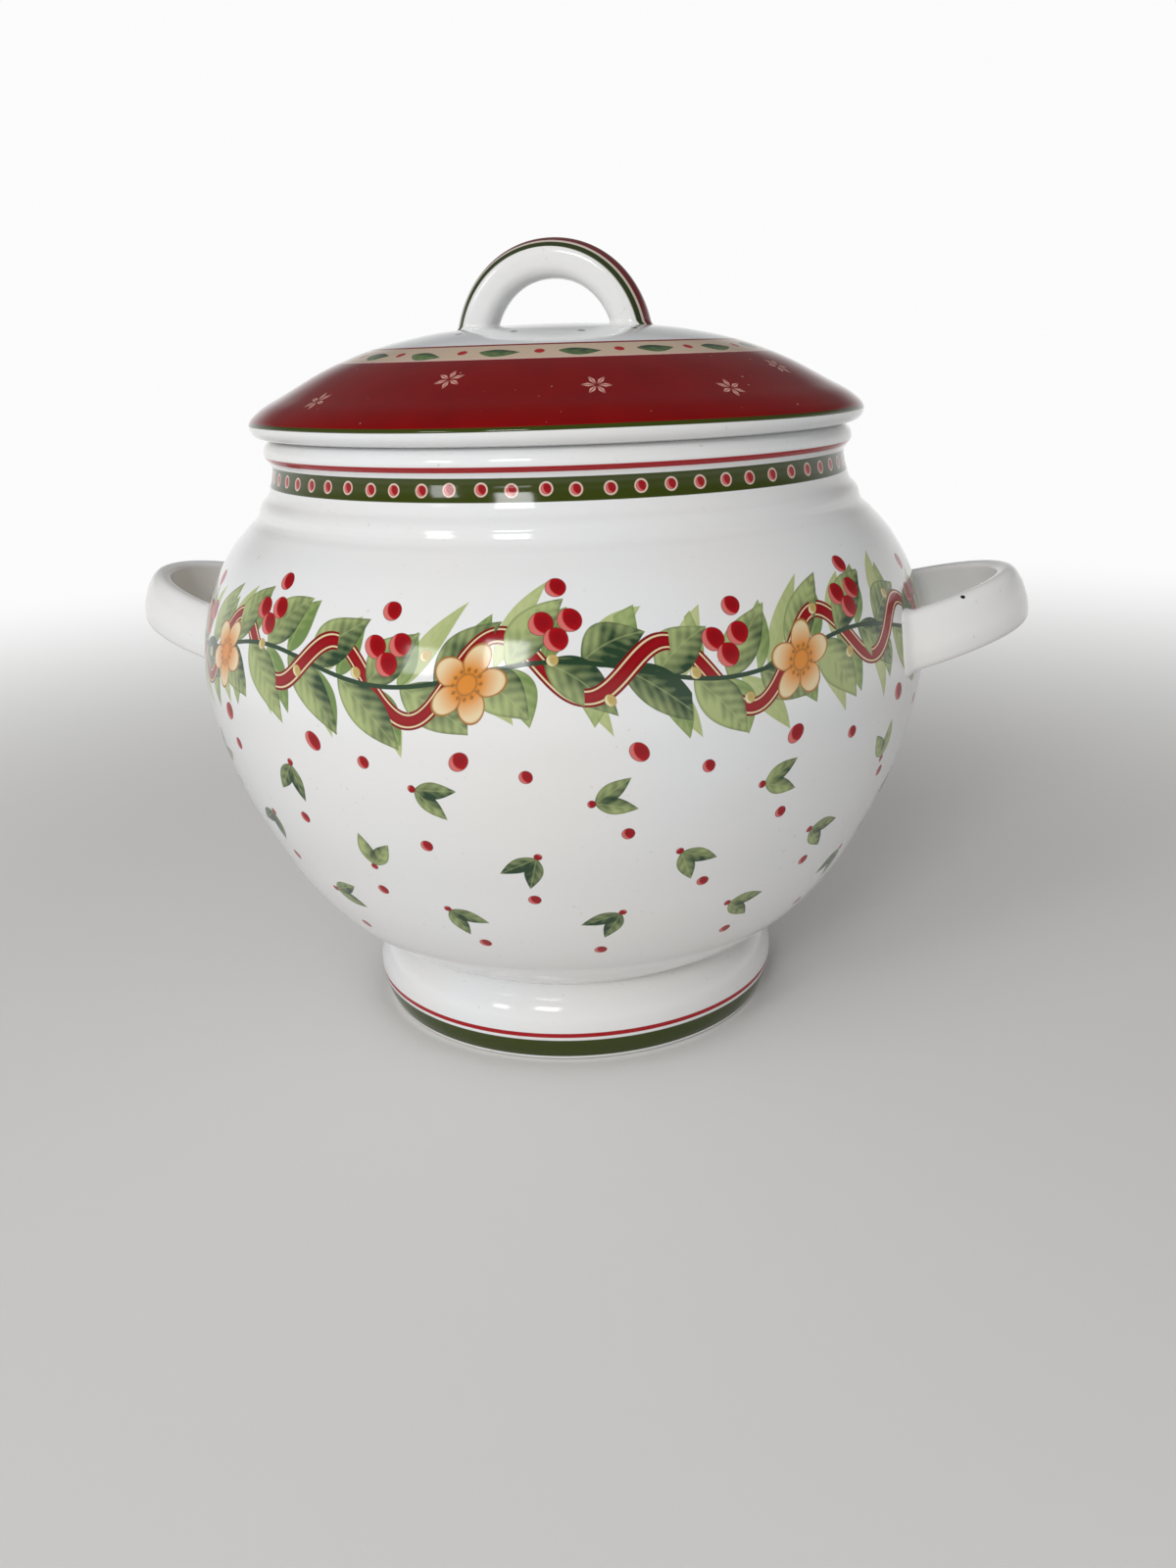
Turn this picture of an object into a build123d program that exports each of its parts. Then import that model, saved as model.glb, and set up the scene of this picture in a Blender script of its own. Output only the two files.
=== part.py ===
from build123d import *
import os
from math import cos, radians, sin

# Lidded punch pot in glazed porcelain, millimetres.
# The origin is on the pot's axis in the plane that it stands on, +Z is up,
# and the two side handles lie along the X axis.

# Foot ring
waist_radius = 45.6
foot_height = 17.0
foot_seat_width = 5.6
foot_roll_bulge = 5.8
foot_roll_drop = 7.0
foot_base_flare = 2.8
foot_base_width = 5.0
foot_base_round = 1.2

# Belly of the bowl, measured on its outside, with its heights above the foot ring
belly_radius = 85.6
belly_rise = 74.5
middle_belly_inset = 9.3
middle_belly_rise = 36.3
lower_belly_inset = 21.0
lower_belly_rise = 16.3
shoulder_inset = 15.6
shoulder_rise = 31.1
shoulder_curve_share = 0.35
shoulder_bulge = 2.5

# Inside of the bowl
belly_wall = 5.4
floor_thickness = 5.2
floor_inset = 9.6
floor_corner_inset = 12.6
floor_corner_rise = 10.4

# Collar above the shoulder, and its rolled rim, with their heights down from the rim's top
neck_rise = 16.9
ledge_step = 0.6
ledge_rise = 1.7
collar_inset = 3.8
collar_wall = 6.2
collar_start_drop = 9.5
rim_start_drop = 5.7
rim_overhang = 1.5
rim_widest_drop = 2.7
rim_edge_inset = 2.1
rim_edge_round = 1.6
mouth_depth = 15.0

# Lid
lid_gap = 0.3
lid_overhang = 2.6
lid_edge_height = 2.9
lid_edge_round = 2.9
dome_rise = 22.7
dome_outer_inset = 8.1
dome_outer_drop = 13.7
dome_middle_inset = 21.8
dome_middle_drop = 6.9
dome_inner_inset = 37.6
dome_inner_drop = 2.4
lid_wall = 4.8
lid_hollow_step = 4.0

# Ring under the lid that drops into the mouth
ring_clearance = 0.8
ring_wall = 3.8
ring_drop = 9.0
ring_round = 1.2

# Arched handle on the lid
arch_half_length = 21.6
arch_base_depth = 3.3
arch_rise = 21.7
arch_width = 12.0
arch_thickness = 8.5
arch_crown = 1.5
arch_inner_round = 3.4
arch_outer_round = 0.6

# Strap handles at the sides, placed from the widest ring of the belly
strap_reach = 22.0
strap_root_depth = 15.2
strap_root_rise = 0.7
strap_half_spread = 29.3
strap_slope = 15.1
strap_height = 12.6
strap_thickness = 5.6
strap_bulge = 0.8
strap_round = 2.1

# Places that follow from these sizes
foot_recess_radius = waist_radius - foot_seat_width
foot_roll_radius = waist_radius + foot_roll_bulge
foot_base_radius = waist_radius + foot_base_flare
middle_belly_radius = belly_radius - middle_belly_inset
middle_belly_height = foot_height + middle_belly_rise
lower_belly_radius = belly_radius - lower_belly_inset
lower_belly_height = foot_height + lower_belly_rise
belly_height = foot_height + belly_rise
shoulder_radius = belly_radius - shoulder_inset
shoulder_height = belly_height + shoulder_rise
floor_radius = waist_radius - floor_inset
floor_corner_radius = lower_belly_radius - floor_corner_inset
collar_radius = shoulder_radius - collar_inset
mouth_radius = collar_radius - collar_wall
rim_height = shoulder_height + neck_rise
rim_radius = collar_radius + rim_overhang
lid_seat = rim_height + lid_gap
lid_radius = rim_radius + lid_overhang
dome_top = lid_seat + dome_rise

os.makedirs("parts", exist_ok=True)


def belly_curve():
    """Outside of the belly, from the waist up to the shoulder."""
    points = [
        (waist_radius, foot_height),
        (lower_belly_radius, lower_belly_height),
        (middle_belly_radius, middle_belly_height),
        (belly_radius, belly_height),
        (
            shoulder_radius + (belly_radius - shoulder_radius) * shoulder_curve_share + shoulder_bulge,
            belly_height + (shoulder_height - belly_height) * (1 - shoulder_curve_share) + shoulder_bulge,
        ),
        (shoulder_radius, shoulder_height),
    ]
    return Spline(*points)


# Bowl: one turned wall with a flat underside that stands on the foot ring
with BuildPart() as pot_bowl:
    with BuildSketch(Plane.XZ):
        with BuildLine():
            belly = belly_curve()
            ledge = Line(belly @ 1, (shoulder_radius - ledge_step, shoulder_height + ledge_rise))
            collar = Spline(
                ledge @ 1,
                (collar_radius, rim_height - collar_start_drop),
                tangents=((-1, 1), (0, 1)),
            )
            band = Line(collar @ 1, (collar_radius, rim_height - rim_start_drop))
            rim = ThreePointArc(
                band @ 1,
                (rim_radius, rim_height - rim_widest_drop),
                (rim_radius - rim_edge_inset, rim_height),
            )
            top = Line(rim @ 1, (mouth_radius + rim_edge_round, rim_height))
            lip = RadiusArc(top @ 1, (mouth_radius, rim_height - rim_edge_round), -rim_edge_round)
            mouth = Line(lip @ 1, (mouth_radius, rim_height - mouth_depth))
            inside = Spline(
                mouth @ 1,
                (belly_radius - belly_wall, belly_height),
                (middle_belly_radius - belly_wall, middle_belly_height),
                (lower_belly_radius - belly_wall, lower_belly_height + belly_wall / 2),
                (floor_corner_radius, foot_height + floor_corner_rise),
                (floor_radius, foot_height + floor_thickness),
                tangents=((1, -1), (-1, 0)),
            )
            floor = Line(inside @ 1, (0, foot_height + floor_thickness))
            axis_edge = Line(floor @ 1, (0, foot_height))
            Line(axis_edge @ 1, belly @ 0)
        make_face()
    revolve(axis=Axis.Z)
pot_bowl.part.label = "pot_bowl"

# Foot ring: a turned roll that the bowl's flat underside stands on
with BuildPart() as foot_ring:
    with BuildSketch(Plane.XZ):
        with BuildLine():
            roll = Spline(
                (foot_base_radius, foot_base_round),
                (foot_roll_radius, foot_height - foot_roll_drop),
                (waist_radius, foot_height),
            )
            seat = Line(roll @ 1, (foot_recess_radius, foot_height))
            recess = Line(seat @ 1, (foot_base_radius - foot_base_width, 0))
            base = Line(recess @ 1, (foot_base_radius - foot_base_round, 0))
            RadiusArc(base @ 1, roll @ 0, -foot_base_round)
        make_face()
    revolve(axis=Axis.Z)
foot_ring.part.label = "foot_ring"

# The bowl's outside as a filled form, which cuts the roots of the straps
with BuildPart() as bowl_form:
    with BuildSketch(Plane.XZ):
        with BuildLine():
            form = belly_curve()
            form_top = Line(form @ 1, (0, shoulder_height))
            form_axis = Line(form_top @ 1, (0, foot_height))
            Line(form_axis @ 1, form @ 0)
        make_face()
    revolve(axis=Axis.Z)


def strap_section():
    """Flat inside, gently bulged outside, drawn about the middle of the strap."""
    half_height = strap_height / 2
    half_thickness = strap_thickness / 2
    with BuildSketch(mode=Mode.PRIVATE) as section:
        with BuildLine():
            inner = Line((-half_thickness, half_height), (-half_thickness, -half_height))
            lower = Line(inner @ 1, (half_thickness - strap_bulge, -half_height))
            outer = ThreePointArc(
                lower @ 1,
                (half_thickness, 0),
                (half_thickness - strap_bulge, half_height),
            )
            Line(outer @ 1, inner @ 0)
        make_face()
        fillet(section.vertices(), strap_round)
    return section.sketch


def side_handle(side):
    """Strap bent in a loop that slopes up and out; side is 1 at +X and -1 at -X."""
    slope = radians(strap_slope)
    loop_plane = Plane(
        origin=(side * (belly_radius - strap_root_depth), 0, belly_height + strap_root_rise),
        x_dir=(side * cos(slope), 0, sin(slope)),
        z_dir=(-side * sin(slope), 0, cos(slope)),
    )
    reach = (strap_root_depth + strap_reach) / cos(slope) - strap_thickness / 2
    spread = strap_half_spread - strap_thickness / 2
    with BuildPart() as strap:
        with BuildLine(loop_plane):
            loop = EllipticalCenterArc((0, 0), reach, spread, start_angle=-90, arc_size=180)
        start = Plane(origin=loop @ 0, x_dir=-loop_plane.y_dir, z_dir=loop % 0)
        with BuildSketch(start):
            add(strap_section())
        sweep(path=loop)
        add(bowl_form.part, mode=Mode.SUBTRACT)
    return strap.part


handle_right = side_handle(1)
handle_right.label = "handle_right"
handle_left = side_handle(-1)
handle_left.label = "handle_left"


def dome_curve():
    """Outside of the dome, from its edge up to its top."""
    return Spline(
        (lid_radius, lid_seat + lid_edge_height),
        (lid_radius - dome_outer_inset, dome_top - dome_outer_drop),
        (lid_radius - dome_middle_inset, dome_top - dome_middle_drop),
        (lid_radius - dome_inner_inset, dome_top - dome_inner_drop),
        (0, dome_top),
        tangents=((-1, 2), (-1, 0)),
    )


mouth_ring_radius = mouth_radius - ring_clearance
hollow_radius = mouth_ring_radius - ring_wall

# Lid: a dome with a thick round edge that overhangs the rolled rim
with BuildPart() as lid:
    with BuildSketch(Plane.XZ):
        with BuildLine():
            dome = dome_curve()
            centre = Line(dome @ 1, (0, dome_top - lid_wall))
            under = Spline(
                centre @ 1,
                (lid_radius - dome_inner_inset, dome_top - dome_inner_drop - lid_wall),
                (lid_radius - dome_middle_inset, dome_top - dome_middle_drop - lid_wall),
                (hollow_radius, lid_seat + lid_hollow_step),
                tangents=((1, 0), (0, -1)),
            )
            step = Line(under @ 1, (hollow_radius, lid_seat))
            seat_line = Line(step @ 1, (lid_radius - lid_edge_round, lid_seat))
            EllipticalCenterArc(
                (lid_radius - lid_edge_round, lid_seat + lid_edge_height),
                lid_edge_round,
                lid_edge_height,
                start_angle=-90,
                arc_size=90,
            )
        make_face()
    revolve(axis=Axis.Z)
lid.part.label = "lid"

# Locating ring: hangs from the lid's flat underside into the mouth
with BuildPart() as lid_locating_ring:
    with BuildSketch(Plane.XY.offset(lid_seat - ring_drop)):
        Circle(mouth_ring_radius)
        Circle(hollow_radius, mode=Mode.SUBTRACT)
    extrude(amount=ring_drop)
    fillet(lid_locating_ring.edges().group_by(Axis.Z)[0], ring_round)
lid_locating_ring.part.label = "lid_locating_ring"

# The lid's outside as a filled form, which cuts the feet of the arch
with BuildPart() as dome_form:
    with BuildSketch(Plane.XZ):
        with BuildLine():
            cap = dome_curve()
            cap_axis = Line(cap @ 1, (0, lid_seat + lid_edge_height))
            Line(cap_axis @ 1, cap @ 0)
        make_face()
    revolve(axis=Axis.Z)

# Lid handle: an arch with a crowned outer band and a rounded inside
arch_base = dome_top - arch_base_depth
with BuildPart() as lid_handle:
    with BuildLine(Plane.XZ):
        half_thickness = arch_thickness / 2
        arch_line = EllipticalCenterArc(
            (0, arch_base),
            arch_half_length - half_thickness,
            arch_rise - half_thickness,
            arc_size=180,
        )
    with BuildSketch(
        Plane(origin=arch_line @ 0, x_dir=(1, 0, 0), z_dir=arch_line % 0)
    ) as arch_section:
        half_width = arch_width / 2
        with BuildLine():
            inner = Line((-half_thickness, half_width), (-half_thickness, -half_width))
            front = Line(inner @ 1, (half_thickness - arch_crown, -half_width))
            outer = ThreePointArc(
                front @ 1,
                (half_thickness, 0),
                (half_thickness - arch_crown, half_width),
            )
            Line(outer @ 1, inner @ 0)
        make_face()
        fillet(arch_section.vertices().group_by(Axis.X)[0], arch_inner_round)
        fillet(arch_section.vertices().group_by(Axis.X)[-1], arch_outer_round)
    sweep(path=arch_line)
    add(dome_form.part, mode=Mode.SUBTRACT)
lid_handle.part.label = "lid_handle"

export_step(pot_bowl.part, "parts/pot_bowl.step")
export_step(foot_ring.part, "parts/foot_ring.step")
export_step(handle_right, "parts/handle_right.step")
export_step(handle_left, "parts/handle_left.step")
export_step(lid.part, "parts/lid.step")
export_step(lid_locating_ring.part, "parts/lid_locating_ring.step")
export_step(lid_handle.part, "parts/lid_handle.step")
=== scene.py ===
from math import cos, hypot, pi, radians, sin, sqrt

import bpy
from mathutils import Matrix, Vector


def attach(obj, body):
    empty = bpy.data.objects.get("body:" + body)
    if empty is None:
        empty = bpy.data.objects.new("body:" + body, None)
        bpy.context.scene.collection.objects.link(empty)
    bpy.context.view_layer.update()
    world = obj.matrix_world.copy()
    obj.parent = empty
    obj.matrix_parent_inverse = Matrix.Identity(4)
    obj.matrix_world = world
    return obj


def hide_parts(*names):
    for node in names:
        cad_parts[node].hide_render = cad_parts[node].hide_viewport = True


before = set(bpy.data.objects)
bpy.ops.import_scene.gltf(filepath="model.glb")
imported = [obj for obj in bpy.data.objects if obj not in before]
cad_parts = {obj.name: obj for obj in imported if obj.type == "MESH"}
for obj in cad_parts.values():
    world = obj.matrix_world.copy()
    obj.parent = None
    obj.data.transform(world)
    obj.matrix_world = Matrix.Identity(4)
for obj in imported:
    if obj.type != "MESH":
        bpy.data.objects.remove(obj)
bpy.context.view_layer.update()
bpy.ops.object.select_all(action="DESELECT")

# Camera
# A telephone held a forearm's length from the pot and a little above it, turned so that
# the right handle comes towards the eye.
handle_turn = radians(12.6)
camera_distance = 0.3187
camera_height = 0.1557
camera_pan = radians(0.81)
camera_pitch = radians(18.13)
camera_roll = radians(1.78)
camera_lens = 30.15
camera_sensor = 36.0
nearest_seen = 0.01

bpy.ops.object.camera_add()
camera = bpy.context.object
camera.data.lens = camera_lens
camera.data.sensor_width = camera_sensor
camera.data.clip_start = nearest_seen
camera.matrix_world = (
    Matrix.Rotation(handle_turn, 4, "Z")
    @ Matrix.Translation((0, -camera_distance, camera_height))
    @ Matrix.Rotation(-camera_pan, 4, "Z")
    @ Matrix.Rotation(pi / 2 - camera_pitch, 4, "X")
    @ Matrix.Rotation(-camera_roll, 4, "Z")
)
bpy.context.scene.camera = camera

# Bowl
# The belly, shoulder, collar and rolled rim are one turned porcelain wall, glazed all over, with
# rings and a garland printed under the glaze. Sizes here and below are in millimetres, and mm
# turns them into Blender's metres.
mm = 0.001
foot_height = 17.9
waist_radius = 45.6
belly_radius = 85.55
belly_height = 91.5
shoulder_radius = 70.0
shoulder_height = 122.6
collar_radius = 66.2
rim_radius = 67.7
rim_height = 139.5
mouth_radius = 60.0
wall = 5.4
SMOOTH = "AUTO"
CORNER = "VECTOR"


def draw_line(points, closed=False, fineness=10):
    """Draws a line through (radius, height, kind) points in the XZ plane, as a mesh of edges."""
    bpy.ops.curve.primitive_bezier_curve_add()
    line = bpy.context.object
    spline = line.data.splines[0]
    spline.bezier_points.add(len(points) - 2)
    spline.use_cyclic_u = closed
    for knot, (radius, height, kind) in zip(spline.bezier_points, points):
        knot.co = (radius * mm, 0, height * mm)
        knot.handle_left_type = knot.handle_right_type = kind
    line.data.resolution_u = fineness
    bpy.ops.object.convert(target="MESH")
    return bpy.context.object


def close_seams():
    """Merges the doubles of the piece being edited, points its faces outwards and ends edit mode."""
    bpy.ops.mesh.select_all(action="SELECT")
    bpy.ops.mesh.remove_doubles(threshold=0.005 * mm)
    bpy.ops.mesh.normals_make_consistent(inside=False)
    bpy.ops.object.mode_set(mode="OBJECT")


def turned(name, points, closed=False, fineness=10, steps=180):
    """Turns an outline about the pot's axis into one closed wall."""
    piece = draw_line(points, closed, fineness)
    piece.name = name
    bpy.ops.object.mode_set(mode="EDIT")
    bpy.ops.mesh.select_all(action="SELECT")
    bpy.ops.mesh.spin(steps=steps, angle=2 * pi, center=(0, 0, 0), axis=(0, 0, 1))
    close_seams()
    bpy.ops.object.shade_smooth_by_angle(angle=radians(40))
    piece.select_set(False)
    return piece


bowl_outline = [
    (0, foot_height, CORNER),
    (waist_radius, foot_height, CORNER),
    (53.6, 22.9, SMOOTH),
    (64.6, 33.3, SMOOTH),
    (76.3, 53.3, SMOOTH),
    (82.6, 69.5, SMOOTH),
    (85.4, 84.0, SMOOTH),
    (belly_radius, belly_height, SMOOTH),
    (83.4, 103.0, SMOOTH),
    (78.3, 113.7, SMOOTH),
    (72.6, 120.4, SMOOTH),
    (shoulder_radius + 0.3, shoulder_height, SMOOTH),
    (shoulder_radius - 0.1, shoulder_height + 1.1, SMOOTH),
    (shoulder_radius - 0.35, shoulder_height + 2.1, SMOOTH),
    (shoulder_radius - 0.85, shoulder_height + 3.0, SMOOTH),
    (collar_radius + 1.5, 127.2, SMOOTH),
    (collar_radius + 0.6, 129.6, SMOOTH),
    (collar_radius + 0.05, 131.8, SMOOTH),
    (collar_radius - 0.1, 133.7, SMOOTH),
    (rim_radius, 136.8, SMOOTH),
    (65.6, rim_height, SMOOTH),
    (mouth_radius + 1.8, rim_height, SMOOTH),
    (mouth_radius, rim_height - 1.8, SMOOTH),
    (mouth_radius, 124.5, SMOOTH),
    (belly_radius - 13.5, 110.4, SMOOTH),
    (belly_radius - wall, belly_height, SMOOTH),
    (76.3 - wall, 53.3, SMOOTH),
    (64.6 - wall, 36.0, SMOOTH),
    (52.0, 27.4, SMOOTH),
    (36.0, 22.6, SMOOTH),
    (0, 22.6, CORNER),
    (0, foot_height, CORNER),
]
bowl = turned("bowl", bowl_outline)


class Glaze:
    """A number on its way through the nodes of a glaze. Sums on it add Math nodes."""

    def __init__(self, tree, socket=None):
        self.tree = tree
        self.socket = socket

    def node(self, kind, settings=None, inputs=None, out=0):
        """Adds a node: its settings go in first, then the values or links of its sockets."""
        new = self.tree.nodes.new(kind)
        for key, value in (settings or {}).items():
            setattr(new, key, value)
        for key, value in (inputs or {}).items():
            if isinstance(value, Glaze):
                self.tree.links.new(value.socket, new.inputs[key])
            else:
                new.inputs[key].default_value = value
        return Glaze(self.tree, new.outputs[out])

    def output(self, name):
        """Another output of the node that this number comes from."""
        return Glaze(self.tree, self.socket.node.outputs[name])

    def sum(self, operation, *values, clamp=False):
        settings = {"operation": operation, "use_clamp": clamp}
        return self.node("ShaderNodeMath", settings, dict(enumerate(values)))

    def __add__(self, other):
        return self.sum("ADD", self, other)

    def __radd__(self, other):
        return self.sum("ADD", other, self)

    def __sub__(self, other):
        return self.sum("SUBTRACT", self, other)

    def __rsub__(self, other):
        return self.sum("SUBTRACT", other, self)

    def __mul__(self, other):
        return self.sum("MULTIPLY", self, other)

    def __rmul__(self, other):
        return self.sum("MULTIPLY", other, self)

    def __truediv__(self, other):
        return self.sum("DIVIDE", self, other)

    def __abs__(self):
        return self.sum("ABSOLUTE", self)

    def low(self, other):
        return self.sum("MINIMUM", self, other)

    def high(self, other):
        return self.sum("MAXIMUM", self, other)

    def floor(self):
        return self.sum("FLOOR", self)

    def modulo(self, other):
        return self.sum("MODULO", self, other)

    def sine(self):
        return self.sum("SINE", self)

    def cosine(self):
        return self.sum("COSINE", self)

    def arctangent(self, other):
        return self.sum("ARCTAN2", self, other)

    def root(self):
        return self.sum("SQRT", self)

    def above(self, other):
        return self.sum("GREATER_THAN", self, other)

    def clamped(self):
        """The number, kept between 0 and 1."""
        return self.sum("ADD", self, 0.0, clamp=True)

    def inked(self, blur=0.14):
        """1 where a distance in millimetres is below 0, fading over the blur of the print."""
        return self.sum("MULTIPLY_ADD", self, -1 / blur, 0.5, clamp=True)

    def chance(self, seed=None):
        """A random number from 0 to 1 for each whole number, other ones for each seed."""
        number = self if seed is None else self + seed
        return self.node("ShaderNodeTexWhiteNoise", {"noise_dimensions": "1D"}, {"W": number})

    def cloud(self, scale, detail=2.0):
        """Soft noise from 0 to 1 at a place; the scale counts its waves in a millimetre."""
        return self.node(
            "ShaderNodeTexNoise", inputs={"Vector": self, "Scale": scale, "Detail": detail}
        )


def mix(mask, under, over):
    """Lays the colour over on the colour under, where the mask is 1."""
    # Sockets 0, 6, 7 and output 2 are the Mix node's factor, two colours and colour.
    return mask.node("ShaderNodeMix", {"data_type": "RGBA"}, {0: mask, 6: under, 7: over}, out=2)


def glazed(name, paint):
    """A glossy glaze over what paint() prints, in millimetres from the pot's origin."""
    material = bpy.data.materials.new(name)
    material.use_nodes = True
    tree = material.node_tree
    shader = tree.nodes["Principled BSDF"]
    start = Glaze(tree)
    place = start.node("ShaderNodeTexCoord", out="Object")
    grain = start.node(
        "ShaderNodeVectorMath", {"operation": "SCALE"}, {0: place, "Scale": 1 / mm}
    )
    parts = start.node("ShaderNodeSeparateXYZ", inputs={0: grain})
    x, y, z = (parts.output(axis) for axis in "XYZ")
    colour = paint(x, y, z, grain)
    tree.links.new(colour.socket, shader.inputs["Base Color"])
    # Slow waves in the glaze and a fine orange peel bend its reflections.
    height = grain.cloud(0.05, 1.0) + grain.cloud(0.8, 1.0) * 0.012
    bump = start.node(
        "ShaderNodeBump", inputs={"Strength": 0.3, "Distance": 0.6 * mm, "Height": height}
    )
    tree.links.new(bump.socket, shader.inputs["Normal"])
    roughness = grain.cloud(0.06, 3.0) * 0.08 + 0.05
    tree.links.new(roughness.socket, shader.inputs["Roughness"])
    shader.inputs["IOR"].default_value = 1.5
    shader.inputs["Specular IOR Level"].default_value = 0.36
    return material


white = (0.80, 0.81, 0.82, 1)
warm_white = (0.81, 0.785, 0.74, 1)
iron_speck = (0.55, 0.48, 0.4, 1)
line_red = (0.36, 0.004, 0.008, 1)
band_green = (0.038, 0.053, 0.004, 1)
cream = (0.72, 0.52, 0.44, 1)
leaf_light = (0.40, 0.47, 0.20, 1)
leaf_mid = (0.16, 0.25, 0.075, 1)
leaf_dark = (0.022, 0.055, 0.025, 1)
pale_leaf = (0.52, 0.56, 0.28, 1)
berry_red = (0.40, 0.003, 0.008, 1)
berry_light = (0.72, 0.2, 0.18, 1)
berry_dark = (0.07, 0.0, 0.003, 1)
gold = (0.55, 0.45, 0.16, 1)
gold_light = (0.8, 0.78, 0.5, 1)
petal_cream = (0.78, 0.63, 0.38, 1)
petal_edge = (0.36, 0.15, 0.03, 1)
heart_orange = (0.70, 0.25, 0.03, 1)
ribbon_back = (0.2, 0.002, 0.006, 1)


def body_white(grain):
    """The white body under the glaze, warmer in slow patches and finely speckled."""
    patch = grain.cloud(0.02) * 1.6 - 0.55
    colour = mix(patch.clamped(), white, warm_white)
    speck = grain.cloud(0.9, 0.0) * 6.0 - 4.75
    return mix(speck.clamped() * 0.5, colour, iron_speck)


def ring(value, low, high):
    """1 between two heights or radii."""
    middle = (low + high) / 2
    return (abs(value - middle) - (high - low) / 2).inked()


def distance(across, along):
    """How far a point lies from (0, 0)."""
    return (across * across + along * along).root()


def spot(across, along, radius):
    """Distance to a round spot's edge."""
    return distance(across, along) - radius


def repeat(x, y, count, shift=0.0):
    """Equal cells all round the pot: each cell's number, and the millimetres across it."""
    turn = y.arctangent(x)
    radius = distance(x, y)
    place = turn * (count / (2 * pi)) + (count / 2 + shift)
    number = place.floor()
    across = (place - number - 0.5) * radius * (2 * pi / count)
    return number.modulo(count), across


leaf_point = 0.12


def leaf(across, along, angle, length, width, tint, wash, light, dark, bend=0.0):
    """One printed leaf that grows from (0, 0) at an angle: its mask and its colour."""
    if isinstance(angle, Glaze):
        cosine, sine = angle.cosine(), angle.sine()
    else:
        cosine, sine = cos(angle), sin(angle)
    way = across * cosine + along * sine
    share = way.sum("DIVIDE", way, length, clamp=True)
    side = along * cosine - across * sine - share * (1 - share) * (4 * bend)
    # Widest a little before its middle, with both ends drawn in to points.
    swell = (share.sum("POWER", share, 0.8) * pi).sine()
    half = swell * (width / 2 + leaf_point) - leaf_point
    edge = abs(side) - half
    mask = edge.inked()
    # Its tone changes along slanting veins, from side to side, from leaf to leaf and in soft
    # patches, under a dark rim and a light midrib.
    veins = ((way - abs(side) * 1.1) * 2.4).sine() * 0.12
    shade = side * (0.9 / width) + tint * 0.8 + wash * 1.3 + veins - 0.55
    colour = mix(shade.clamped(), dark, light)
    rim = edge.sum("MULTIPLY_ADD", edge, 1.6, 1.0, clamp=True)
    colour = mix(rim * 0.45, colour, dark)
    colour = mix((abs(side) - 0.1).inked(0.3) * 0.55, colour, light)
    return mask, colour


def berry(colour, across, along, radius, ripe=berry_red, shine=berry_light, deep=berry_dark):
    """Prints a round berry on a colour, pale towards the left and darker towards the right."""
    shade = spot(across - radius * 0.2, along - radius * 0.15, radius * 0.62).inked(1.2)
    fruit = mix(shade * 0.35, ripe, deep)
    pale = spot(across - radius * 0.62, along - radius * 0.3, radius * 1.18).inked(0.3)
    fruit = mix((1 - pale) * 0.8, fruit, shine)
    fruit = mix(spot(across, along, radius - 0.08).inked(0.2), deep, fruit)
    return mix(spot(across, along, radius).inked(), colour, fruit)


ribbon_half_width = 1.75
ribbon_line = 1.15
ribbon_line_half_width = 0.16


def ribbon(colour, bow, lean, mask):
    """Lays a stretch of the ribbon on a colour, with a pale line along each edge."""
    away = abs(bow) / lean
    cloth = mix((away - 0.7).inked(1.2) * 0.7, ribbon_back, line_red)
    cloth = mix((abs(away - ribbon_line) - ribbon_line_half_width).inked(), cloth, petal_cream)
    return mix((away - ribbon_half_width).inked() * mask, colour, cloth)


# Rows of leaves from the back to the front: side of the stem, how many, shift, angle in
# degrees, length, width, and their light and dark colours.
leaf_rows = (
    (1, 30, 0.25, 62, 17.5, 4.6, pale_leaf, leaf_light),
    (-1, 30, 0.6, 60, 17.5, 4.6, pale_leaf, leaf_light),
    (1, 38, 0.5, 76, 13.5, 6.0, leaf_light, leaf_mid),
    (-1, 38, 0.0, 70, 14.0, 6.0, leaf_light, leaf_mid),
    (1, 38, 0.0, 42, 17.0, 8.0, leaf_light, leaf_dark),
    (-1, 38, 0.5, 38, 17.5, 8.4, leaf_light, leaf_dark),
)
rows_behind_ribbon = 4
print_radius = 83
belly_curl = 0.00017
stem_height = 8.5
stem_waves = 8.0
stem_swing = 2.6
stem_half_width = 0.45
ribbon_waves = 16.0
ribbon_shift = 0.6
ribbon_swing = 6.5


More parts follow.
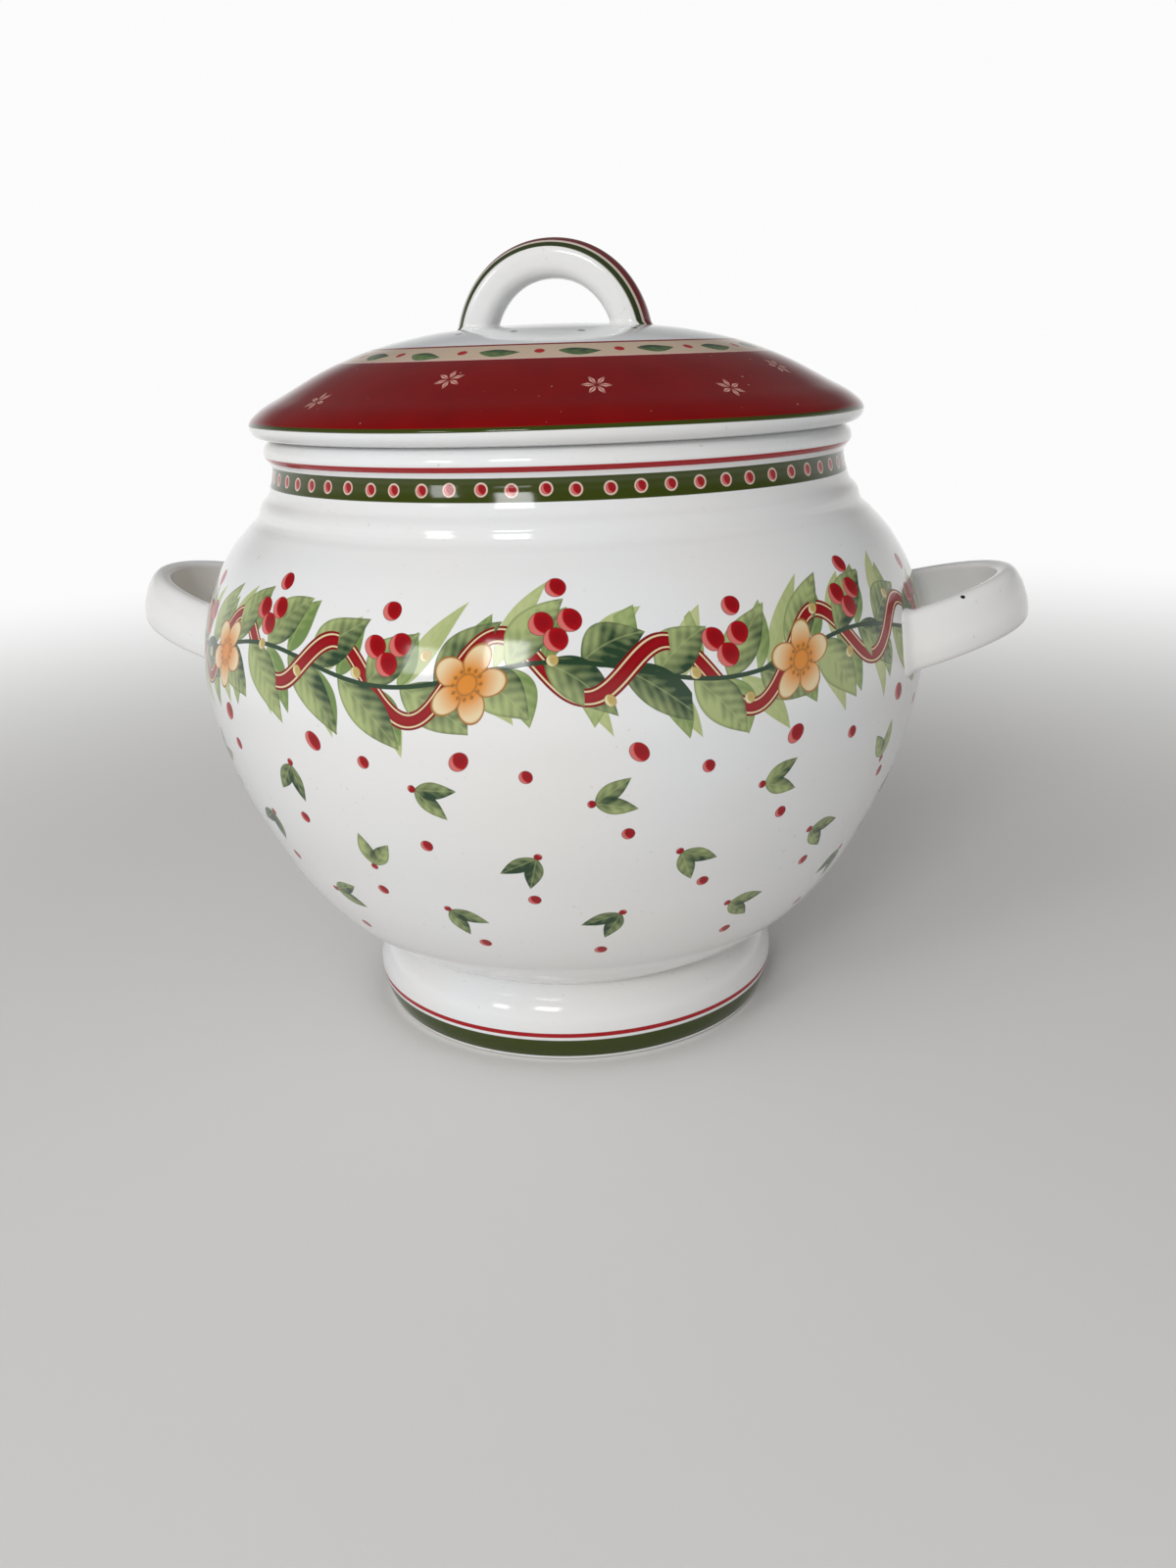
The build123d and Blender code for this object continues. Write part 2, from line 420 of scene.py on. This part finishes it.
def garland(colour, x, y, z, wash):
    """Leaves in pairs along a stem that waves round the belly, with a ribbon wound round it.

    Gives the height over the stem too, for what is printed on it.
    """
    turn = y.arctangent(x)
    rise = z - belly_height
    # Height measured along the curve of the belly.
    along = rise + rise * rise * rise * belly_curl
    stem = along - stem_height - (turn * stem_waves).sine() * stem_swing
    wave = turn * ribbon_waves + ribbon_shift
    bow = stem - wave.sine() * ribbon_swing
    slope = wave.cosine() * (ribbon_swing * ribbon_waves / print_radius)
    lean = (slope * slope + 1.0).root()
    front = slope.above(0.0)
    for row, (side, count, shift, angle, length, width, light, dark) in enumerate(leaf_rows):
        number, across = repeat(x, y, count, shift)
        tint = number.chance(count * side + angle)
        growth = number.chance(7.3 + row * 50)
        pitch = 2 * pi * print_radius / count
        # Each leaf is rooted near the left end of its cell, and has its own angle and length.
        mask, shade = leaf(
            across + pitch * 0.47, stem * side, tint * 0.5 + (radians(angle) - 0.25),
            length * (growth * 0.3 + 0.82), width, tint, wash, light, dark, bend=0.9 * side,
        )
        colour = mix(mask, colour, shade)
        if row + 1 == rows_behind_ribbon:
            colour = ribbon(colour, bow, lean, 1 - front)
    colour = mix((abs(stem) - stem_half_width).inked(), colour, leaf_dark)
    return ribbon(colour, bow, lean, front), stem


gold_berries = 40
gold_radius = 1.15
berry_threes = 16
three_radius = 2.35
lone_berries = 32
lone_radius = 2.0


def berries(colour, x, y, stem):
    """Small gold berries along the stem, and red ones in threes and by themselves."""
    number, across = repeat(x, y, gold_berries, 0.3)
    drift = number.chance(3.0)
    colour = berry(
        colour, across + drift * 6.0 - 3.0, stem + drift * 14.0 - 7.0, gold_radius,
        ripe=gold, shine=gold_light, deep=petal_edge,
    )
    number, across = repeat(x, y, berry_threes)
    for right, up in ((-2.5, 7.4), (2.8, 8.0), (0.2, 4.2)):
        colour = berry(colour, across - right, stem - up, three_radius)
    number, across = repeat(x, y, lone_berries, 0.5)
    drift = number.chance(7.0)
    flip = number.modulo(2.0) * 2.0 - 1.0
    across = across + drift * 5.0 - 2.5
    up = stem - flip * (drift * 2.5 + 13.5)
    return berry(colour, across, up, lone_radius)


blossom_count = 8
blossom_drop = 1.5
petal_notch = 4.4
petal_swell = 3.4
petal_glow = 4.6
heart_edge_radius = 2.1
heart_radius = 1.75
pollen_radius = 2.7


def blossoms(colour, x, y, stem):
    """Blossoms of five cream petals round an orange heart, spaced along the stem."""
    number, across = repeat(x, y, blossom_count, 0.5)
    up = stem + blossom_drop
    petal_turn = up.arctangent(across) + number.chance() * 3.0
    lobe = abs((petal_turn * 2.5).cosine())
    reach = lobe * petal_swell + petal_notch
    out = distance(across, up)
    colour = mix((out - reach).inked(), colour, petal_edge)
    petal = mix((out - petal_glow).inked(3.6), petal_cream, heart_orange)
    petal = mix((lobe - 0.12).inked(0.25), petal, petal_edge)
    colour = mix((out - reach + 0.45).inked(0.4), colour, petal)
    colour = mix((out - heart_edge_radius).inked(0.5), colour, petal_edge)
    colour = mix((out - heart_radius).inked(0.4), colour, heart_orange)
    pollen = (petal_turn * 12.0).sine() * 0.35 + abs(out - pollen_radius)
    return mix((pollen - 0.1).inked(0.3), colour, petal_edge)


# Rows under the garland: height, shift, and how much taller a print is where the belly curls in.
sprig_rows = ((73.5, 0.0, 1.03), (58.5, 0.5, 1.1), (44.0, 0.0, 1.2))
dot_rows = ((80.0, 0.5, 1.0), (66.0, 0.0, 1.06), (51.5, 0.5, 1.15), (37.0, 0.0, 1.25))
sprigs_in_row = 15
sprig_spread = radians(24)
sprig_length = 9.0
sprig_width = 3.8
sprig_root = 3.6
bud_radius = 0.85
dot_radius = 1.35


def sprigs(colour, x, y, z, wash):
    """Sprigs of two leaves and a bud, and dots, in staggered rows under the garland."""
    for row, (height, shift, stretch) in enumerate(sprig_rows):
        number, across = repeat(x, y, sprigs_in_row, shift)
        tint = number.chance(31.0 * (row + 1))
        swing = tint * 5.0 - 2.5
        cosine, sine = swing.cosine(), swing.sine()
        up = (z - height - number.chance(90.0 + row) * 3.0) * stretch
        way = across * cosine + up * sine + sprig_root
        side = abs(up * cosine - across * sine)
        mask, shade = leaf(
            way, side, sprig_spread, sprig_length, sprig_width, tint, wash, leaf_light, leaf_dark
        )
        colour = mix(mask, colour, shade)
        colour = berry(colour, way + 0.5, side, bud_radius)
    for row, (height, shift, stretch) in enumerate(dot_rows):
        number, across = repeat(x, y, sprigs_in_row, shift)
        drift = number.chance(17.0 * (row + 1))
        up = (z - height + drift * 4.0 - 2.0) * stretch
        colour = berry(colour, across + drift * 8.0 - 4.0, up, dot_radius)
    return colour


collar_line = (134.95, 136.05)
collar_band = (129.4, 133.9)
collar_dots = 68
collar_dot_shift = -0.41
collar_dot_height = 131.55
collar_dot_radius = 1.35
collar_berry_radius = 1.02


def collar_bands(colour, x, y, z):
    """A green band with ringed dots under a fine red line."""
    colour = mix(ring(z, *collar_line), colour, line_red)
    colour = mix(ring(z, *collar_band), colour, band_green)
    number, across = repeat(x, y, collar_dots, collar_dot_shift)
    across = across + number.chance() * 0.6 - 0.3
    up = z - collar_dot_height - number.chance(0.5) * 0.25
    colour = mix(spot(across, up, collar_dot_radius).inked(), colour, cream)
    return berry(colour, across, up, collar_berry_radius)


wall_middle_radius = 83.0
wall_middle_height = 90.0
lower_flattening = 1.07
upper_flattening = 2.65
mouth_middle_radius = 63.0


def outside_of_wall(x, y, z):
    """1 on the outside of the bowl, which carries the print, and 0 on its plain inside."""
    radius = distance(x, y)
    lower = (z - wall_middle_height).low(0.0)
    upper = (z - wall_middle_height).high(0.0)
    # The middle of the wall is an ellipse, nearly round below the belly and flatter above it.
    squares = radius * radius + lower * lower * lower_flattening + upper * upper * upper_flattening
    return squares.above(wall_middle_radius ** 2) * radius.above(mouth_middle_radius)


def bowl_print(x, y, z, grain):
    """Rings round the collar, a laurel garland round the belly and sprigs below it."""
    plain = body_white(grain)
    wash = grain.cloud(0.22)
    colour, stem = garland(plain, x, y, z, wash)
    colour = berries(colour, x, y, stem)
    colour = blossoms(colour, x, y, stem)
    colour = sprigs(colour, x, y, z, wash)
    colour = collar_bands(colour, x, y, z)
    return mix(outside_of_wall(x, y, z), plain, colour)


bowl.data.materials.append(glazed("bowl glaze", bowl_print))
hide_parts("pot_bowl")
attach(bowl, "pot")

# Foot ring
# A turned roll under the belly, hollow inside. It stands on a narrow ring that is wiped free of
# glaze, and carries a red line and a green band.
foot_outline = [
    (48.9, 1.0, SMOOTH),
    (50.2, 4.6, SMOOTH),
    (50.8, 8.4, SMOOTH),
    (50.1, 12.3, SMOOTH),
    (48.2, 15.5, SMOOTH),
    (waist_radius, foot_height, CORNER),
    (40.0, foot_height, CORNER),
    (43.2, 0.9, CORNER),
    (43.6, 0.25, CORNER),
    (44.2, 0, CORNER),
    (47.6, 0, CORNER),
    (48.5, 0.3, SMOOTH),
]
foot = turned("foot", foot_outline, closed=True, fineness=12)

foot_line = (6.85, 7.95)
foot_band = (1.15, 6.05)
foot_hollow_radius = 47.0
glaze_edge_height = 0.35
biscuit = (0.62, 0.56, 0.47, 1)


def foot_print(x, y, z, grain):
    """A red line over a green band, and bare biscuit where the foot stands."""
    colour = body_white(grain)
    outside = (foot_hollow_radius - distance(x, y)).inked()
    colour = mix(ring(z, *foot_line) * outside, colour, line_red)
    colour = mix(ring(z, *foot_band) * outside, colour, band_green)
    return mix((z - glaze_edge_height).inked(0.2), colour, biscuit)


foot.data.materials.append(glazed("foot glaze", foot_print))
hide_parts("foot_ring")
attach(foot, "pot")

# Side handles
# Each is a flat strap of porcelain bent in a loop, stuck on the belly with slip that is smoothed
# into a small round fillet. The loop rises outwards.
strap_slope = radians(15.1)
strap_root = 70.4
strap_root_height = 92.2
strap_reach = 107.3
strap_spread = 29.3
strap_thickness = 5.6
strap_weld = 1.8
strap_outline = (
    (-2.5, 4.6), (-2.1, 5.9), (-1.0, 6.3), (0.4, 6.25), (1.5, 5.5), (2.4, 3.6), (3.0, 0.4),
    (2.8, -4.1), (2.0, -5.9), (0.6, -6.3), (-1.2, -6.3), (-2.4, -5.9), (-2.8, -4.6),
)


def bent_bar(name, outline, reach, spread, place, gap_to_wall, weld, lean=0, fineness=96):
    """Draws an outline along half an ellipse and welds both roots to a wall.

    The roots stand upright, or lean inwards.
    """
    reach, spread, weld, lean = reach * mm, spread * mm, weld * mm, lean * mm
    bpy.ops.curve.primitive_bezier_circle_add()
    section = bpy.context.object
    spline = section.data.splines[0]
    spline.bezier_points.add(len(outline) - 4)
    for knot, (out, up) in zip(spline.bezier_points, outline):
        knot.co = (out * mm, up * mm, 0)
        knot.handle_left_type = knot.handle_right_type = SMOOTH
    section.data.resolution_u = 5
    section.data.dimensions = "2D"
    bpy.ops.curve.primitive_bezier_curve_add()
    bar = bpy.context.object
    bar.name = name
    # How far a knot's handle reaches for a quarter of a circle of radius 1.
    ease = 4 / 3 * (sqrt(2) - 1)
    spline = bar.data.splines[0]
    spline.bezier_points.add(1)
    knots = (
        ((0, -spread), (-reach * ease, -spread), (reach * ease, lean - spread)),
        ((reach, 0), (reach, -spread * ease), (reach, spread * ease)),
        ((0, spread), (reach * ease, spread - lean), (-reach * ease, spread)),
    )
    for knot, (at, before, after) in zip(spline.bezier_points, knots):
        knot.handle_left_type = knot.handle_right_type = "FREE"
        knot.co = (*at, 0)
        knot.handle_left = (*before, 0)
        knot.handle_right = (*after, 0)
    bar.data.dimensions = "2D"
    bar.data.fill_mode = "NONE"
    bar.data.resolution_u = fineness
    bar.data.bevel_mode = "OBJECT"
    bar.data.bevel_object = section
    bar.data.use_fill_caps = True
    bpy.ops.object.convert(target="MESH")
    bpy.data.objects.remove(section)
    bar = bpy.context.object
    bar.data.transform(place)
    bpy.ops.object.mode_set(mode="EDIT")
    close_seams()
    # Within a weld's width of the wall the bar swells by up to half that width.
    moves = []
    for vertex in bar.data.vertices:
        near = min(1.0, max(0.0, 1 - gap_to_wall(vertex.co) / weld))
        moves.append(vertex.normal * (weld * 0.5 * near * near))
    for vertex, move in zip(bar.data.vertices, moves):
        vertex.co += move
    bpy.ops.object.shade_smooth_by_angle(angle=radians(50))
    bar.select_set(False)
    return bar


def line_at(line, place):
    """Where a line through (place, value) points lies at a place, straight between them."""
    for (low, first), (high, last) in zip(line, line[1:]):
        if low <= place <= high:
            return first + (last - first) * (place - low) / (high - low)
    return line[-1][1]


drawn = draw_line(bowl_outline[1:12])
belly_line = [(knot.co.z, knot.co.x) for knot in drawn.data.vertices]
bpy.data.objects.remove(drawn)


def gap_to_belly(at):
    """How far a point stands out from the belly."""
    return hypot(at.x, at.y) - line_at(belly_line, at.z)


speck_place = (92.32, -20.88, 103.81)
speck_radius = 0.52
burnt_black = (0.01, 0.01, 0.01, 1)


def plain_print(x, y, z, grain):
    """White all over."""
    return body_white(grain)


def pitted_print(x, y, z, grain):
    """White with one black speck burnt into the glaze of the strap at the front."""
    colour = body_white(grain)
    away = grain.node(
        "ShaderNodeVectorMath", {"operation": "DISTANCE"}, {0: grain, 1: speck_place}, out="Value"
    )
    return mix((away - speck_radius).inked(), colour, burnt_black)


# The right strap was stuck on a little askew.
for name, node, turn, roll, paint in (
    ("right_strap", "handle_right", 0, radians(0.9), pitted_print),
    ("left_strap", "handle_left", pi, 0, plain_print),
):
    facing = Matrix.Rotation(turn, 4, "Z")
    raised = Matrix.Translation((strap_root * mm, 0, strap_root_height * mm))
    sloped = Matrix.Rotation(-strap_slope, 4, "Y") @ Matrix.Rotation(roll, 4, "X")
    handle = bent_bar(
        name, strap_outline,
        (strap_reach - strap_root) / cos(strap_slope) - strap_thickness / 2,
        strap_spread - strap_thickness / 2,
        facing @ raised @ sloped, gap_to_belly, strap_weld,
    )
    handle.data.materials.append(glazed(name.replace("_", " ") + " glaze", paint))
    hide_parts(node)
    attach(handle, "pot")

# Lid
# A domed porcelain shell with a thick rounded edge that overhangs the rim. It lies loose on the
# rim. It has a red field with stars, a cream band with leaves and berries, and a white top.
lid_seat = 139.8
lid_radius = 70.25
lid_hollow_radius = 55.4
lid_outline = [
    (0, 162.5, SMOOTH),
    (16.0, 162.05, SMOOTH),
    (32.7, 160.1, SMOOTH),
    (48.5, 155.6, SMOOTH),
    (62.2, 148.8, SMOOTH),
    (68.5, 145.05, SMOOTH),
    (lid_radius - 0.1, 143.1, SMOOTH),
    (lid_radius, 142.5, SMOOTH),
    (lid_radius - 0.8, 140.65, SMOOTH),
    (lid_radius - 2.8, lid_seat, SMOOTH),
    (59.0, lid_seat, CORNER),
    (lid_hollow_radius, lid_seat, CORNER),
    (lid_hollow_radius, 143.8, SMOOTH),
    (48.5, 150.8, SMOOTH),
    (32.7, 155.3, SMOOTH),
    (0, 157.7, SMOOTH),
]
lid = turned("lid_dome", lid_outline, fineness=12)

field_red = (0.225, 0.001, 0.001, 1)
field_deep = (0.155, 0.0, 0.001, 1)
star_cream = (0.70, 0.38, 0.32, 1)
band_line = (0.72, 0.5, 0.44, 1)
band_cream = (0.60, 0.46, 0.34, 1)
brown_red = (0.24, 0.006, 0.008, 1)
edge_line_height = 142.6
field_height = 143.4
field_radius = 49.5
band_radius = 49.0
leaf_ring_radius = 45.9
brown_line_radius = 42.4
top_radius = 41.5
leaf_ring_count = 18
band_leaf_length = 9.0
band_leaf_width = 3.6
band_leaf_root = 4.4
band_berry_radius = 1.05
star_count = 14
star_ring_radius = 59.7
star_side_wander = 3.6
star_out_wander = 3.7
star_petal_middle = 1.7
star_petal_half_width = 0.55
star_petal_taper = 0.36
star_line_half_width = 0.09
top_dot_count = 14
top_dot_ring_radius = 36.5
top_dot_radius = 0.8
wall_middle_top = 160.1
dome_curve = 0.0029
under_edge_height = 139.9
hollow_print_radius = 57.0


def stars(colour, x, y, radius):
    """Stars scattered in and out, each of six pointed petals with a fine red line."""
    number, across = repeat(x, y, star_count, 0.34)
    # Two waves scatter the stars; they are set by the stars that show at the front.
    across = across - (number * 1.047 - 3.14).sine() * star_side_wander
    out = radius - star_ring_radius - (number * 2.244 - 4.226).cosine() * star_out_wander
    reach = distance(across, out)
    # Folded like paper, so that half a petal is drawn and shows twelve times.
    fan = out.arctangent(across) + number.chance(11.0) + 2 * pi
    fold = fan.sum("PINGPONG", fan, pi / 6)
    way = fold.cosine() * reach
    beside = fold.sine() * reach
    petal = abs(way - star_petal_middle) * star_petal_taper + beside - star_petal_half_width
    star = petal.inked(0.12) * (star_line_half_width - beside).inked(0.1)
    return mix(star * 0.95, colour, star_cream)


def leaf_band(colour, x, y, radius, wash):
    """Leaves and berries by turns on the cream band."""
    number, across = repeat(x, y, leaf_ring_count, 0.06)
    tint = number.chance(3.0)
    mask, shade = leaf(
        across + band_leaf_root, radius - leaf_ring_radius, tint * 0.5 - 0.25,
        band_leaf_length, band_leaf_width, tint * 0.3, wash, leaf_mid, leaf_dark, bend=0.4,
    )
    colour = mix(mask, colour, shade)
    number, across = repeat(x, y, leaf_ring_count, 0.56)
    dot = spot(across, radius - leaf_ring_radius, band_berry_radius)
    return mix(dot.inked(), colour, berry_red)


def lid_print(x, y, z, grain):
    """Bands round the dome, from the edge in: green line, red field, cream band, white top."""
    radius = distance(x, y)
    turn = y.arctangent(x)
    colour = body_white(grain)
    # The two lowest edges wobble a little, as drawn by hand.
    edge = z - (turn * 5.0 + 1.0).sine() * 0.09
    colour = mix((edge_line_height - edge).inked(), colour, band_green)
    wash = grain.cloud(0.12)
    field = mix(wash, field_red, field_deep)
    fleck = grain.cloud(1.1, 0.0) * 12.0 - 10.3
    field = mix(fleck.clamped() * 0.6, field, cream)
    colour = mix((field_height - edge).inked(), colour, field)
    colour = stars(colour, x, y, radius)
    colour = mix((radius - field_radius).inked(), colour, band_line)
    colour = mix((radius - band_radius).inked(), colour, band_cream)
    colour = leaf_band(colour, x, y, radius, wash)
    colour = mix((radius - brown_line_radius).inked(), colour, brown_red)
    colour = mix((radius - top_radius).inked(), colour, white)
    # A few dark dots on the white top.
    number, across = repeat(x, y, top_dot_count)
    drift = number.chance(5.0)
    dot = spot(across + drift * 3.0, radius - top_dot_ring_radius + drift * 10.0, top_dot_radius)
    colour = mix(dot.inked(), colour, berry_dark)
    # The underside stays white: the bands end at the seat, and inside the middle of the dome's
    # wall, which falls away from its top with the square of the radius.
    inner_half = z + radius * radius * dome_curve - wall_middle_top
    seat = (z - under_edge_height).inked()
    hollow = (radius - hollow_print_radius).inked() * inner_half.inked()
    return mix(seat.high(hollow), colour, white)


lid.data.materials.append(glazed("lid glaze", lid_print))
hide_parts("lid")
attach(lid, "lid")

# Locating ring
# A plain porcelain ring, stuck on under the lid and glazed with it. It drops into the mouth and
# keeps the lid on its seat.
ring_radius = 59.2
ring_foot = 130.85
ring_outline = [
    (ring_radius, lid_seat, CORNER),
    (ring_radius, 132.2, SMOOTH),
    (58.2, ring_foot, SMOOTH),
    (56.4, ring_foot, SMOOTH),
    (lid_hollow_radius, 132.2, SMOOTH),
    (lid_hollow_radius, lid_seat, CORNER),
]
locating_ring = turned("locating_ring", ring_outline, closed=True, steps=144)
locating_ring.data.materials.append(glazed("ring glaze", plain_print))
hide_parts("lid_locating_ring")
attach(locating_ring, "lid")

# Lid handle
# A porcelain arch with a flat outer band and a rounded inside, stuck on the dome. The band has a
# green line along one edge and a brown red one beside the other.
arch_base = 159.2
arch_half_length = 22.9
arch_rise = 21.6
arch_thickness = 8.5
arch_lean = 1.3
arch_weld = 0.7
arch_outline = (
    (4.25, 0), (3.75, 3.0), (2.75, 5.0), (2.0, 5.8), (-0.7, 5.95), (-3.25, 4.95), (-4.25, 2.4),
    (-4.25, -2.4), (-3.25, -4.95), (-0.7, -5.95), (2.0, -5.8), (2.75, -5.0), (3.75, -3.0),
)

drawn = draw_line(lid_outline[:5])
dome_line = [(knot.co.x, knot.co.z) for knot in drawn.data.vertices]
bpy.data.objects.remove(drawn)


def gap_to_dome(at):
    """How far a point stands above the dome."""
    return at.z - line_at(dome_line, hypot(at.x, at.y))


outer_band_radius = 19.4
outer_band = (-5.8, 5.8)
green_line = (-5.8, -4.6)
brown_line = (-3.85, 2.2)
band_shade = (0.62, 0.5, 0.4, 1)
arch_green = (0.035, 0.05, 0.016, 1)
arch_brown = (0.16, 0.012, 0.012, 1)


def arch_print(x, y, z, grain):
    """White, with a green line and a wider brown red one along the crowned outer band."""
    colour = body_white(grain)
    up = z - arch_base
    outside = (outer_band_radius - distance(x, up)).inked()
    colour = mix(ring(y, *outer_band) * outside * 0.7, colour, band_shade)
    colour = mix(ring(y, *green_line) * outside, colour, arch_green)
    return mix(ring(y, *brown_line) * outside, colour, arch_brown)


# Stands the bar's own reach up along Z, its spread along X and its outline's height along Y.
upright = Matrix.Translation((0, 0, arch_base * mm)) @ Matrix(
    ((0, 1, 0, 0), (0, 0, 1, 0), (1, 0, 0, 0), (0, 0, 0, 1))
)
arch = bent_bar(
    "lid_arch", arch_outline, arch_rise - arch_thickness / 2, arch_half_length - arch_thickness / 2,
    upright, gap_to_dome, arch_weld, arch_lean, fineness=64,
)
arch.data.materials.append(glazed("arch glaze", arch_print))
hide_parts("lid_handle")
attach(arch, "lid")

# Studio
# A plain pale floor, two soft windows at the left, a broad soft fill from above, and white around.
# Away from the pot the floor fades into the white around it.
floor_size = 8
fade_start = 0.16
fade_end = 0.75
floor_grey = (0.80, 0.79, 0.78, 1)
surround_white = (0.97, 0.97, 0.97, 1)

bpy.ops.mesh.primitive_plane_add(size=floor_size)
floor = bpy.context.object
floor.name = "floor"
floor_paint = bpy.data.materials.new("floor paint")
floor_paint.use_nodes = True
floor_shader = floor_paint.node_tree.nodes["Principled BSDF"]
floor_shader.inputs["Base Color"].default_value = floor_grey
floor_shader.inputs["Roughness"].default_value = 0.8
floor_shader.inputs["Specular IOR Level"].default_value = 0.1
ground = Glaze(floor_paint.node_tree)
place = ground.node("ShaderNodeTexCoord", out="Object")
away = ground.node("ShaderNodeVectorMath", {"operation": "LENGTH"}, {0: place}, out="Value")
paths = ground.node("ShaderNodeLightPath")
eye = paths.output("Is Camera Ray")
mirror = paths.output("Is Glossy Ray")
fade = ground.node(
    "ShaderNodeMapRange", {"interpolation_type": "SMOOTHSTEP"},
    {"Value": away, "From Min": fade_start, "From Max": fade_end},
)
bright = ground.node("ShaderNodeEmission", inputs={"Color": surround_white})
lit = Glaze(floor_paint.node_tree, floor_shader.outputs["BSDF"])
blend = ground.node(
    "ShaderNodeMixShader", inputs={0: fade * eye.high(mirror), 1: lit, 2: bright}
)
surface = floor_paint.node_tree.nodes["Material Output"].inputs["Surface"]
floor_paint.node_tree.links.new(blend.socket, surface)
floor.data.materials.append(floor_paint)

# Where the lamps stand: degrees round from the camera, degrees up, and metres from the pot.
# Then their width, height and power, and whether the glaze mirrors them.
lamp_aim = 0.09
for turn, up, stand_off, width, height, power, mirrored in (
    (-17.5, 24, 1.3, 0.28, 0.26, 3.6, True),
    (-43.5, 18, 1.3, 0.21, 0.25, 1.6, True),
    (-32.0, 38, 1.5, 1.10, 1.10, 5.6, False),
):
    bpy.ops.object.light_add(type="AREA")
    lamp = bpy.context.object
    lamp.data.shape = "RECTANGLE"
    lamp.data.size = width
    lamp.data.size_y = height
    lamp.data.energy = power
    lamp.visible_glossy = mirrored
    ahead = Vector((0, -stand_off, 0))
    ahead.rotate(Matrix.Rotation(-radians(up), 3, "X"))
    ahead.rotate(Matrix.Rotation(handle_turn + radians(turn), 3, "Z"))
    lamp.location = ahead + Vector((0, 0, lamp_aim))
    lamp.rotation_euler = (-ahead).to_track_quat("-Z", "Y").to_euler()

# White walls light the pot from the sides, and a darker ceiling hangs over it. In mirror images
# the walls are as white as to the eye, and the ceiling is darker still.
wall_top = 0.36
wall_light = 0.30
ceiling_light = 0.35
mirror_dimming = 0.2
backdrop_light = 0.97

world = bpy.data.worlds.new("surround")
bpy.context.scene.world = world
world.use_nodes = True
air = Glaze(world.node_tree)
backdrop = world.node_tree.nodes["Background"]
backdrop.inputs["Color"].default_value = (1, 1, 1, 1)
look = air.node("ShaderNodeTexCoord", out="Generated")
height = air.node("ShaderNodeSeparateXYZ", inputs={0: look}, out="Z")
walls = air.node(
    "ShaderNodeMapRange", {"interpolation_type": "SMOOTHSTEP"},
    {"Value": height, "From Min": 0.0, "From Max": wall_top, "To Min": 1.0, "To Max": 0.0},
)
paths = air.node("ShaderNodeLightPath")
eye = paths.output("Is Camera Ray")
mirror = paths.output("Is Glossy Ray").high(paths.output("Is Transmission Ray"))
shown = eye.high(mirror * walls)
light = walls * wall_light + ceiling_light - mirror * mirror_dimming
strength = light * (1 - shown) + shown * backdrop_light
world.node_tree.links.new(strength.socket, backdrop.inputs["Strength"])
bpy.context.scene.view_settings.view_transform = "Standard"
